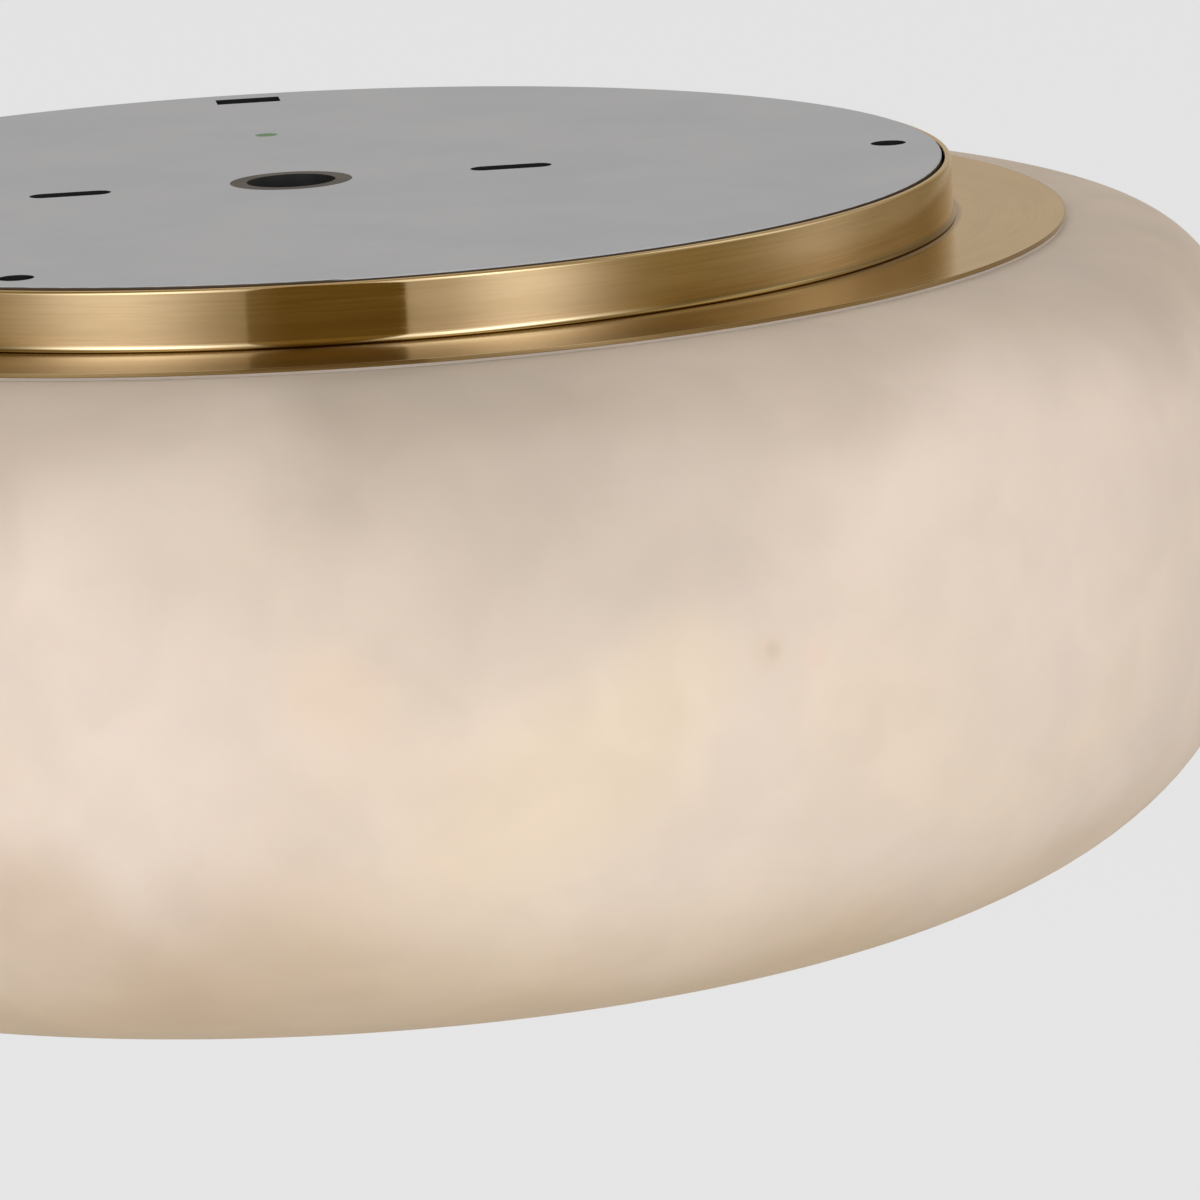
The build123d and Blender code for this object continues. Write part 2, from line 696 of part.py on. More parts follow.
def earth_screw():
    """Screw that holds the earth tag on the pan, flush with the pan's underside."""
    body = screw(earth_screw_r, earth_tag_t + pan_t, earth_head_r, small_head_h)
    return Pos(earth_x, earth_y, pan_top + earth_tag_t) * body


def led_leads():
    """Two leads from the driver's outlet end back over the pan and down to the board."""
    z, leads = pan_top + led_outlet_z, []
    for side in (-1, 1):
        shift = side * led_lead_pitch / 2
        out_y, far_x = driver_y - led_outlet_y + shift, driver_l / 2 + led_loop + shift
        back_y = led_hole_y - shift
        leads.append(lead([
            (driver_l / 2, out_y, z), (far_x, out_y, z), (far_x, back_y, z),
            (led_hole_x, back_y, z), (led_hole_x, back_y, board_under)], led_lead_r))
    return group(leads)


def lock_bush():
    """Threaded bush pressed in the band, with a collar behind the wall."""
    bore_r = lock_screw_r + lock_running_gap
    inner_y, bush_r = lock_tab_y + lock_bush_gap, bore_r + lock_bush_wall
    bush = lock_bar(bush_r, inner_y, band_r - press_gap)
    bush += lock_bar(bush_r + lock_collar_w, inner_y, band_bore_r - lock_collar_gap)
    return bush - lock_bar(bore_r, inner_y, band_r)


def lock_screw():
    """Knurled screw whose tip stops short of the plate's tab until it is tightened."""
    head_y = band_r + lock_head_gap
    head = lock_bar(lock_head_r, head_y, head_y + lock_head_l)
    head = chamfer(head.edges().filter_by(GeomType.CIRCLE), lock_head_bevel)
    side = knurl_depth * sqrt(2)
    bit = Pos(0, head_y + lock_head_l / 2, lock_z) * Rot(90, 0, 0)
    notch = Rot(0, 0, 45) * Box(side, side, lock_head_l)
    head -= [bit * place * notch for place in polar(lock_head_r, knurl_count)]
    return head + lock_bar(lock_screw_r, lock_tab_y + lock_tip_gap, head_y)


nodes = [
    mounting_plate, wire_bushing, hanger_studs, ground_screw, ground_washer,
    canopy_band, shade_flange, shade_gasket, carrier_ring, alabaster_shade, stone_inserts,
    shade_washers, shade_screws, standoffs, led_pan, engine_screws, led_board, led_emitters,
    board_screws, diffuser, diffuser_screws, led_driver, driver_screws, terminal_block,
    block_screws, terminal_screws, mains_leads, earth_lead, earth_tag, earth_screw, led_leads,
    lead_grommet, lock_bush, lock_screw,
]

os.makedirs("parts", exist_ok=True)
for node in nodes:
    export_step(node(), f"parts/{node.__name__}.step")
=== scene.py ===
"""Looks of a flush mount ceiling light: a thick alabaster bowl under a brushed brass flange and
band, turned on a grey steel ceiling plate, with its light engine inside the bowl.

Metres, +Z up. The ceiling face of the plate lies on z = 0 and everything hangs below.
"""

import json
import logging
import math
from dataclasses import dataclass
from enum import Enum
from functools import cache

import bmesh
import bpy
from bpy.types import Material, Node, NodeSocket, NodeTree, Object
from mathutils import Matrix, Vector

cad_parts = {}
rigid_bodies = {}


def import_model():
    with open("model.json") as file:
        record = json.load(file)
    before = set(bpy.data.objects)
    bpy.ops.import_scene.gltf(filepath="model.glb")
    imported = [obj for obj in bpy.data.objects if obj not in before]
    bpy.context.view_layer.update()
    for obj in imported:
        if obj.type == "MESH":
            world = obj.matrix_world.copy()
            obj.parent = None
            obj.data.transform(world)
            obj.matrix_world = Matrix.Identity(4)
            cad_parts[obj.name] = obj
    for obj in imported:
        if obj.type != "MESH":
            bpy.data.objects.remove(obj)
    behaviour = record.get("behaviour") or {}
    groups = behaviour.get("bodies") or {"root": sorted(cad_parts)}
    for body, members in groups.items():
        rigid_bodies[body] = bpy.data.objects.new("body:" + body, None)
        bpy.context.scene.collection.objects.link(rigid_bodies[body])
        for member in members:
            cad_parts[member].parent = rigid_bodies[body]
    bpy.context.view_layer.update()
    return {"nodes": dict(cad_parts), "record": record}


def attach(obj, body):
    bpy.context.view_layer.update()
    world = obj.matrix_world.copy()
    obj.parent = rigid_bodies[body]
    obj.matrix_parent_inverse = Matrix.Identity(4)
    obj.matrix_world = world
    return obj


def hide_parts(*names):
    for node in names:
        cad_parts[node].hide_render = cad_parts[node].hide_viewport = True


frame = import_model()
LOG = logging.getLogger("ceiling_light")
BODY = "fixture_body"
MM = 0.001
Colour = Place = tuple[float, float, float]
Pair = tuple[float, float]


class Replaced(Enum):
    """The CAD nodes that a finer piece stands for. All of them belong to one body."""

    BAND = "canopy_band"
    FLANGE = "shade_flange"
    GASKET = "shade_gasket"
    BOWL = "alabaster_shade"


class Graph:
    """A node tree that is being built."""

    def __init__(self, tree: NodeTree) -> None:
        """Start on the emptied tree of a material, a world, a group or a modifier."""
        self.tree = tree
        tree.nodes.clear()

    def put(self, kind: str, inputs: dict | None = None, **settings: object) -> Node:
        """Add one node.

        Args:
            kind: Blender's name of the node's type.
            inputs: A value, a node or a socket for each input, by name or index.
            settings: Values of the node's own properties.

        Returns:
            The new node.
        """
        node = self.tree.nodes.new(kind)
        for name, value in settings.items():
            setattr(node, name, value)
        self.feed(node, inputs or {})
        return node

    def feed(self, node: Node, inputs: dict) -> None:
        """Give a node's inputs their values, nodes or sockets, by name or index."""
        for key, value in inputs.items():
            self.join(value, node.inputs[key])

    def join(self, value: object, socket: NodeSocket) -> None:
        """Link a socket, or set a plain value.

        Args:
            value: A socket or a node, which stands for its first output, to link from, or a number, a
                vector or a colour without its alpha.
            socket: The input that takes it.
        """
        if isinstance(value, Node):
            value = value.outputs[0]
        if isinstance(value, NodeSocket):
            self.tree.links.new(value, socket)
        else:
            socket.default_value = (*value, 1.0) if socket.type == "RGBA" else value

    def split(self, vector: object) -> object:
        """The three coordinates of a vector's socket."""
        return self.put("ShaderNodeSeparateXYZ", {0: vector}).outputs

    def vector(self, operation: str, first: object, second: object, key: object = 1) -> Node:
        """Add a Vector Math node of a first vector and a second input, which a key names."""
        return self.put("ShaderNodeVectorMath", {0: first, key: second}, operation=operation)

    def noise(self, place: object, scale: object, detail: object, more: dict | None = None) -> Node:
        """Add a Noise Texture, of four dimensions where more holds a W."""
        inputs = more or {}
        return self.put("ShaderNodeTexNoise", {"Vector": place, "Scale": scale, "Detail": detail, **inputs},
                        noise_dimensions="4D" if "W" in inputs else "3D")

    def length(self, vector: object) -> NodeSocket:
        """The length of a vector's socket."""
        return self.put("ShaderNodeVectorMath", {0: vector}, operation="LENGTH").outputs[1]

    def times(self, first: object, second: object) -> NodeSocket:
        """The product of two numbers or sockets."""
        return self.math("MULTIPLY", first, second)

    def less(self, first: object, second: object) -> NodeSocket:
        """The first number or socket less the second."""
        return self.math("SUBTRACT", first, second)

    def math(self, operation: str, *values: object, clamp: bool = False) -> NodeSocket:
        """Add a Math node.

        Args:
            operation: Its operation, such as ADD.
            values: One to three numbers or sockets.
            clamp: Whether the result is kept from 0 to 1.

        Returns:
            The result's socket.
        """
        kind = "ShaderNodeMath"
        node = self.put(kind, dict(enumerate(values)), operation=operation, use_clamp=clamp)
        return node.outputs[0]

    def mix(self, factor: object, first: object, second: object, mode: str = "MIX") -> NodeSocket:
        """Mix two colours.

        Args:
            factor: Share of the second colour.
            first: First colour or socket.
            second: Second colour or socket.
            mode: Blend mode.

        Returns:
            The mixed colour's socket.
        """
        node = self.put("ShaderNodeMix", data_type="RGBA", blend_type=mode)
        for value, index in ((factor, 0), (first, 6), (second, 7)):
            self.join(value, node.inputs[index])
        return node.outputs[2]

    def spread(self, value: object, low: float, high: float, to_low: float = 0.0,
               to_high: float = 1.0) -> NodeSocket:
        """Map a range of values smoothly to another range.

        Args:
            value: The value's socket.
            low: Start of the old range.
            high: End of the old range.
            to_low: Start of the new range.
            to_high: End of the new range.

        Returns:
            The mapped value's socket.
        """
        node = self.put("ShaderNodeMapRange", {0: value, 1: low, 2: high, 3: to_low, 4: to_high},
                        interpolation_type="SMOOTHSTEP")
        return node.outputs[0]


def grey(value: float) -> Colour:
    """A neutral colour of the given value."""
    return (value, value, value)


class Effects:
    """Shader groups that several finishes share. Each is built once."""

    @staticmethod
    def start(name: str, inputs: dict, outputs: tuple) -> tuple:
        """Make the empty tree of a group.

        Args:
            name: The group's name.
            inputs: Default of each input, a number or None for a vector.
            outputs: Names of the outputs, all plain values.

        Returns:
            The graph, the sockets that give the group's inputs and those that take its outputs.
        """
        tree = bpy.data.node_groups.new(name, "ShaderNodeTree")
        for key, value in inputs.items():
            kind = "NodeSocketVector" if value is None else "NodeSocketFloat"
            socket = tree.interface.new_socket(name=key, in_out="INPUT", socket_type=kind)
            if value is not None:
                socket.default_value = value
        for key in outputs:
            tree.interface.new_socket(name=key, in_out="OUTPUT", socket_type="NodeSocketFloat")
        graph = Graph(tree)
        return graph, graph.put("NodeGroupInput").outputs, graph.put("NodeGroupOutput").inputs

    @staticmethod
    @cache
    def brushing() -> NodeTree:
        """Long fine scratches round the Z axis, as a lathe and an abrasive pad leave them."""
        graph, given, out = Effects.start("round_brushing", {"Vector": None, "Lines": 2500.0, "Length": 6.0},
                                          ("Height", "Tone"))
        parts = graph.split(given["Vector"])
        radius = graph.math("SQRT", graph.math("ADD", graph.math("POWER", parts[0], 2.0),
                                               graph.math("POWER", parts[1], 2.0)))
        safe = graph.math("MAXIMUM", radius, 0.5 * MM)
        round_x = graph.times(graph.math("DIVIDE", parts[0], safe), given["Length"])
        round_y = graph.times(graph.math("DIVIDE", parts[1], safe), given["Length"])
        across, along = graph.times(radius, given["Lines"]), graph.times(parts[2], given["Lines"])
        place = graph.put("ShaderNodeCombineXYZ", {0: round_x, 1: round_y, 2: across})
        graph.join(graph.noise(place, 1.0, 2.0, {"W": along, "Roughness": 0.6}), out["Height"])
        slower = 0.12
        slow = graph.put("ShaderNodeCombineXYZ", {0: round_x, 1: round_y, 2: graph.times(across, slower)})
        graph.join(graph.noise(slow, 1.0, 3.0, {"W": graph.times(along, slower)}), out["Tone"])
        return graph.tree

    @staticmethod
    @cache
    def clouds() -> NodeTree:
        """Soft drifting clouds: noise whose own place is pushed about by a slower noise."""
        graph, given, out = Effects.start("drifting_clouds", {"Vector": None, "Scale": 9.0, "Drift": 0.5,
                                                              "Detail": 3.0}, ("Cloud",))
        slow = graph.noise(given["Vector"], given["Scale"], 1.0)
        push = graph.vector("SUBTRACT", slow.outputs["Color"], grey(0.5))
        scaled = graph.vector("SCALE", given["Vector"], given["Scale"], "Scale")
        place = graph.vector("ADD", scaled, graph.vector("SCALE", push, given["Drift"], "Scale"))
        graph.join(graph.noise(place, 1.0, given["Detail"], {"Roughness": 0.45}), out["Cloud"])
        return graph.tree

    @staticmethod
    @cache
    def grain() -> NodeTree:
        """Fine even grain of a moulded, painted or plated skin, with handling marks."""
        graph, given, out = Effects.start("fine_grain", {"Vector": None, "Scale": 3000.0, "Roughness": 0.5,
                                                         "Spread": 0.1}, ("Roughness", "Height", "Mark"))
        wide = graph.noise(given["Vector"], graph.times(given["Scale"], 0.02), 4.0)
        mark = graph.spread(wide, 0.35, 0.7)
        shift = graph.times(graph.less(mark, 0.5), given["Spread"])
        rough = graph.math("ADD", given["Roughness"], shift, clamp=True)
        graph.join(rough, out["Roughness"])
        graph.join(graph.noise(given["Vector"], given["Scale"], 3.0), out["Height"])
        graph.join(mark, out["Mark"])
        return graph.tree


def new_material(name: str) -> tuple[Material, Graph, Node, NodeSocket]:
    """Make a material with its shader, output and object coordinates.

    Args:
        name: The material's name.

    Returns:
        The material, its graph, its Principled shader and the coordinates' socket.
    """
    material = bpy.data.materials.new(name)
    material.use_nodes = True
    graph = Graph(material.node_tree)
    shader = graph.put("ShaderNodeBsdfPrincipled")
    out = graph.put("ShaderNodeOutputMaterial")
    graph.join(shader, out.inputs[0])
    place = graph.put("ShaderNodeTexCoord").outputs["Object"]
    return material, graph, shader, place


@dataclass(frozen=True)
class SkinFinish:
    """A plain skin with grain: moulded plastic, rubber, paint or plating.

    Where an edge colour is given, faces that stand upright take it, or the bore colour inside bore_reach
    (in millimetres from the middle): painted shade in the plate's holes, and painted shade with a brown
    painted reflection of the brass on its outer edge.
    """

    name: str
    colour: Colour
    marked: Colour
    roughness: float
    spread: float = 0.1
    metallic: float = 0.0
    grain: float = 3000.0
    bump: float = 0.02
    depth: float = 0.02
    translucent: float = 0.0
    # Painted shade on upright faces: brown, with a painted reflection of the brass, on the outer edge, and
    # near black in the holes.
    edge_painted_shade: Colour | None = None
    bore_painted_shade: Colour = (0.008, 0.007, 0.006)
    bore_reach: float = 116.0

    def material(self) -> Material:
        """Build the finish and return its material."""
        made, graph, shader, place = new_material(self.name)
        skin = graph.put("ShaderNodeGroup", {"Vector": place, "Scale": self.grain, "Spread": self.spread,
                                             "Roughness": self.roughness}, node_tree=Effects.grain())
        tone = graph.mix(skin.outputs["Mark"], self.colour, self.marked)
        # Painted shade: upright faces inside bore_reach go near black as hole walls in shade, the outer edge
        # dark brown as shade with a painted reflection of the brass.
        if self.edge_painted_shade:
            facing = graph.put("ShaderNodeTexCoord").outputs["Normal"]
            level = graph.math("ABSOLUTE", graph.split(facing)[2])
            away = graph.length(place)
            outer = graph.math("GREATER_THAN", away, self.bore_reach * MM)
            edge = graph.mix(outer, self.bore_painted_shade, self.edge_painted_shade)
            tone = graph.mix(graph.spread(level, 0.3, 0.7), edge, tone)
        if self.translucent:
            graph.feed(shader, {"Subsurface Weight": self.translucent, "Subsurface Radius": grey(1.0),
                                "Subsurface Scale": 2 * MM})
        bump = graph.put("ShaderNodeBump", {"Strength": self.bump, "Distance": self.depth * MM,
                                            "Height": skin.outputs["Height"]})
        graph.feed(shader, {"Base Color": tone, "Roughness": skin.outputs["Roughness"],
                            "Metallic": self.metallic, "Normal": bump})
        return made


@dataclass(frozen=True)
class CanopyTones:
    """Painted light over band and flange: painted shade in the seam with some grime, a painted highlight on
    the band's foot in front, painted shade on it at the sides, and painted shade that dims the reflections
    of the flange's flat and rim. Lengths are millimetres.

    The seam is the corner in which the band's foot meets the flange. A reach is a pair of distances
    from it, between which a tone fades out. The front is where -Y over the radius lies in its pair.
    """

    seam_r: float = 118.7
    seam_z: float = -11.0
    # Painted shade where the band meets the flange, with some dark grime in the joint.
    seam_shade_and_grime: Colour = (0.30, 0.175, 0.045)
    seam_reach: Pair = (0.3, 0.85)
    # Painted shade on the band's foot away from the front, which dims its highlight there.
    foot_painted_shade: Colour = (0.36, 0.25, 0.10)
    foot_shade_reach: Pair = (0.7, 1.6)
    # Painted highlight on the band's foot in front.
    foot_painted_highlight: Colour = (1.0, 0.75, 0.41)
    foot_highlight_reach: Pair = (1.2, 3.8)
    front: Pair = (0.86, 0.93)
    flat_r: float = 119.2
    # Painted shade over the flange's flat, darkest in front and towards its rim, a little at the sides: it
    # dims its reflections.
    flange_front_painted_shade: Colour = (0.50, 0.46, 0.34)
    flange_outer_painted_shade: Colour = (0.42, 0.38, 0.28)
    flange_side_painted_shade: Colour = (0.95, 0.95, 0.90)
    outer_span: Pair = (128.8, 133.8)
    # Painted shade on the flange's outer rim.
    rim_r: float = 138.3
    rim_painted_shade: Colour = (0.42, 0.295, 0.13)

    def seam_distance(self, graph: Graph, height: object, radius: object) -> object:
        """Distance of each point from the seam, by the sockets of its height and radius."""
        across = graph.less(radius, self.seam_r * MM)
        up = graph.less(height, self.seam_z * MM)
        return graph.length(graph.put("ShaderNodeCombineXYZ", {0: across, 1: up}))

    def lay(self, graph: Graph, place: object, skin: object) -> object:
        """Lay the painted light over the brass: a painted highlight on the band's foot in front, painted
        shade on it at the sides, in the seam (with some grime), over the flange's flat and on its rim.

        Args:
            graph: The material's graph.
            place: The coordinates' socket.
            skin: The colour's socket so far.

        Returns:
            The colour's socket.
        """
        parts = graph.split(place)
        radius = graph.length(graph.put("ShaderNodeCombineXYZ", {0: parts[0], 1: parts[1]}))
        away = self.seam_distance(graph, parts[2], radius)
        seam, foot, painted_highlight = (graph.spread(away, low * MM, high * MM, 1.0, 0.0)
                           for low, high in (self.seam_reach, self.foot_shade_reach, self.foot_highlight_reach))
        front = graph.spread(graph.math("DIVIDE", graph.times(parts[1], -1.0), radius), *self.front)
        flat = graph.math("GREATER_THAN", radius, self.flat_r * MM)
        outer = graph.spread(radius, self.outer_span[0] * MM, self.outer_span[1] * MM)
        # Painted shade over the flange's flat, darker in front and towards the rim, which dims its
        # reflections.
        tone = graph.mix(outer, self.flange_front_painted_shade, self.flange_outer_painted_shade)
        skin = graph.mix(flat, skin, graph.mix(front, self.flange_side_painted_shade, tone), "MULTIPLY")
        # Painted shade on the flange's outer rim.
        skin = graph.mix(graph.math("GREATER_THAN", radius, self.rim_r * MM), skin, self.rim_painted_shade)
        band_front = graph.less(front, graph.times(front, flat))
        # Painted highlight on the band's foot in front.
        skin = graph.mix(graph.times(painted_highlight, band_front), skin, self.foot_painted_highlight)
        # Painted shade on the band's foot at the sides.
        skin = graph.mix(graph.times(foot, graph.less(1.0, front)), skin, self.foot_painted_shade)
        # Painted shade in the seam, with some dark grime in the joint.
        return graph.mix(seam, skin, self.seam_shade_and_grime)


@dataclass(frozen=True)
class BrushedFinish:
    """Metal that was turned and then brushed round the light's axis."""

    name: str
    colour: Colour
    dark: Colour
    roughness: float
    pull: float
    lines: float = 2500.0
    length: float = 6.0
    bump: float = 0.12
    depth: float = 0.012
    uneven: float = 0.03
    tones: CanopyTones | None = None

    def material(self) -> Material:
        """Build the finish and return its material."""
        made, graph, shader, place = new_material(self.name)
        marks = graph.put("ShaderNodeGroup", {"Vector": place, "Lines": self.lines, "Length": self.length},
                          node_tree=Effects.brushing())
        both = graph.math("ADD", marks.outputs["Tone"], marks.outputs["Height"])
        skin = graph.mix(graph.spread(both, 0.75, 1.25), self.dark, self.colour)
        if self.tones:
            skin = self.tones.lay(graph, place, skin)
        rough = graph.spread(marks.outputs["Height"], 0.3, 0.7, self.roughness - self.uneven,
                             self.roughness + self.uneven)
        turn = graph.put("ShaderNodeTangent", direction_type="RADIAL", axis="Z")
        bump = graph.put("ShaderNodeBump", {"Strength": self.bump, "Distance": self.depth * MM,
                                            "Height": marks.outputs["Height"]})
        graph.feed(shader, {"Base Color": skin, "Roughness": rough, "Metallic": 1.0, "Normal": bump,
                            "Anisotropic": self.pull, "Anisotropic Rotation": 0.25, "Tangent": turn})
        return made


@dataclass(frozen=True)
class StoneMark:
    """One soft mark, by where it lies on the bowl's outside: a patch of the stone's colour, or painted shade
    where it is dark and just under the flange.
    """

    azimuth: float
    height: float
    spread: float
    colour: Colour
    strength: float
    radius: float = 170.0

    def centre(self) -> Place:
        """The mark's middle in metres, with the azimuth in degrees from -Y towards +X."""
        turn = math.radians(self.azimuth)
        return (self.radius * math.sin(turn) * MM, -self.radius * math.cos(turn) * MM, self.height * MM)


@dataclass(frozen=True)
class CloudLayer:
    """One layer of clouds: clouds for each metre, how far they are pushed about, and octaves."""

    scale: float
    drift: float
    detail: float

    def noise(self, graph: Graph, place: object) -> object:
        """Place the cloud group once, on the given coordinates."""
        given = {"Vector": place, "Scale": self.scale, "Drift": self.drift, "Detail": self.detail}
        return graph.put("ShaderNodeGroup", given, node_tree=Effects.clouds())


@dataclass(frozen=True)
class Alabaster:
    """Honed alabaster: pale, soft clouds, warm patches and light that sinks into the skin, with painted
    shade on the shoulder under the flange and a darker foot that is partly the stone's colour and partly
    painted shade.

    A span is a pair of heights in metres, between which a tone comes in. A share and the mottle map
    a layer's noise: from a pair of values to a pair of values.
    """

    name: str = "alabaster_honed"
    pale: Colour = (0.79, 0.66, 0.555)
    cloudy: Colour = (0.66, 0.545, 0.45)
    warm: Colour = (0.80, 0.655, 0.49)
    # Painted shade on the shoulder under the flange.
    shoulder: Colour = (0.57, 0.465, 0.37)
    # Darker foot: partly the stone's own colour, partly painted shade.
    foot: Colour = (0.625, 0.47, 0.31)
    roughness: float = 0.42
    broad: CloudLayer = CloudLayer(9.0, 0.9, 1.2)
    broad_share: tuple = (0.36, 0.74, 0.0, 0.4)
    patches: CloudLayer = CloudLayer(14.0, 1.0, 1.5)
    patch_share: tuple = (0.42, 0.76, 0.0, 0.6)
    drifts: CloudLayer = CloudLayer(16.0, 0.8, 1.5)
    fine: CloudLayer = CloudLayer(60.0, 1.0, 5.0)
    mottle: tuple = (0.3, 0.7, 0.965, 1.02)
    drift_height: float = 0.045
    warm_span: Pair = (-0.045, -0.075)
    shoulder_shade_span: Pair = (-0.034, -0.014)
    foot_span: Pair = (-0.094, -0.128)
    under_span: Pair = (-0.1320, -0.1355)
    cover: float = 0.9
    under_cover: float = 0.35
    mark_core: float = 0.25
    mark_drift: float = 0.6
    marks: tuple[StoneMark, ...] = (
        # The dark marks at heights -13 to -36, the first four and the one at 60 degrees, are painted shade
        # under the flange; the others are patches of the stone's own colour.
        StoneMark(3.5, -13.0, 52.0, (0.44, 0.36, 0.282), 0.7, 157.0),
        StoneMark(-9.0, -30.0, 32.0, (0.64, 0.535, 0.435), 0.5, 167.0),
        StoneMark(8.0, -27.0, 34.0, (0.54, 0.45, 0.362), 0.55, 166.0),
        StoneMark(18.5, -36.0, 32.0, (0.58, 0.485, 0.395), 0.6),
        StoneMark(1.0, -50.0, 24.0, (0.66, 0.555, 0.455), 0.4),
        StoneMark(11.0, -46.0, 20.0, (0.66, 0.56, 0.46), 0.4),
        StoneMark(-6.0, -52.0, 26.0, (0.72, 0.60, 0.50), 0.5),
        StoneMark(60.0, -14.0, 34.0, (0.56, 0.46, 0.38), 0.7, 150.0),
        StoneMark(11.6, -74.0, 26.0, (0.80, 0.665, 0.50), 0.7),
        StoneMark(6.0, -86.0, 22.0, (0.80, 0.66, 0.49), 0.4),
        StoneMark(16.5, -62.0, 16.0, (0.80, 0.66, 0.49), 0.5),
        StoneMark(-14.0, -72.0, 34.0, (0.80, 0.672, 0.575), 0.6),
        StoneMark(-3.3, -61.0, 13.0, (0.80, 0.64, 0.49), 0.6),
        StoneMark(-21.0, -98.0, 20.0, (0.62, 0.475, 0.34), 0.6, 165.0),
        StoneMark(-8.0, -112.0, 36.0, (0.58, 0.43, 0.29), 0.55, 155.0),
        StoneMark(21.8, -60.6, 4.2, (0.76, 0.60, 0.44), 0.45, 171.3),
        StoneMark(22.2, -60.2, 2.2, (0.58, 0.47, 0.36), 0.25, 171.3),
        StoneMark(24.9, -62.4, 3.4, (0.82, 0.62, 0.49), 0.4, 171.3),
    )

    def body_tone(self, graph: Graph, place: object) -> object:
        """Colour of the stone's broad clouds and warm patches, painted shade on its shoulder under the
        flange, and a darker foot that is partly the stone's colour and partly painted shade.

        Args:
            graph: The material's graph.
            place: The coordinates' socket.

        Returns:
            The colour's socket.
        """
        broad = graph.spread(self.broad.noise(graph, place), *self.broad_share)
        warmth = graph.spread(self.patches.noise(graph, place), *self.patch_share)
        height = graph.split(place)[2]
        drift = graph.times(graph.less(self.drifts.noise(graph, place), 0.5), self.drift_height)
        level = graph.math("ADD", height, drift)
        tone = graph.mix(broad, self.pale, self.cloudy)
        tone = graph.mix(graph.times(warmth, graph.spread(level, *self.warm_span)), tone, self.warm)
        # Painted shade on the shoulder, just under the flange.
        tone = graph.mix(graph.spread(level, *self.shoulder_shade_span, 0.0, self.cover), tone, self.shoulder)
        # Darker foot, partly the stone's own colour and partly painted shade; it fades again on the
        # underside.
        foot = graph.times(graph.spread(level, *self.foot_span, 0.0, self.cover),
                           graph.spread(height, *self.under_span, 1.0, self.under_cover))
        return graph.mix(foot, tone, self.foot)

    def marked(self, graph: Graph, place: object, tone: object) -> object:
        """Lay the single marks over the stone's colour.

        Args:
            graph: The material's graph.
            place: The coordinates' socket.
            tone: The colour's socket so far.

        Returns:
            The colour's socket.
        """
        push = graph.vector("SUBTRACT", graph.noise(place, 24.0, 1.6).outputs["Color"], grey(0.5))
        for mark in self.marks:
            reach = mark.spread * MM
            moved = graph.vector("ADD", place, graph.vector("SCALE", push, self.mark_drift * reach, "Scale"))
            away = graph.vector("DISTANCE", moved, mark.centre()).outputs[1]
            share = graph.spread(away, self.mark_core * reach, reach, mark.strength, 0.0)
            tone = graph.mix(share, tone, mark.colour)
        return tone

    def material(self) -> Material:
        """Build the finish and return its material."""
        made, graph, shader, place = new_material(self.name)
        tone = self.marked(graph, place, self.body_tone(graph, place))
        fine = self.fine.noise(graph, place)
        mottle = graph.spread(fine, *self.mottle)
        speck = graph.put("ShaderNodeCombineColor", {0: mottle, 1: mottle, 2: mottle})
        bump = graph.put("ShaderNodeBump", {"Strength": 0.05, "Distance": 0.2 * MM, "Height": fine})
        graph.feed(shader, {"Base Color": graph.mix(1.0, tone, speck, "MULTIPLY"), "IOR": 1.52,
                            "Roughness": self.roughness, "Subsurface Weight": 0.3,
                            "Subsurface Radius": (1.0, 0.7, 0.5), "Subsurface Scale": 5 * MM,
                            "Normal": bump})
        return made


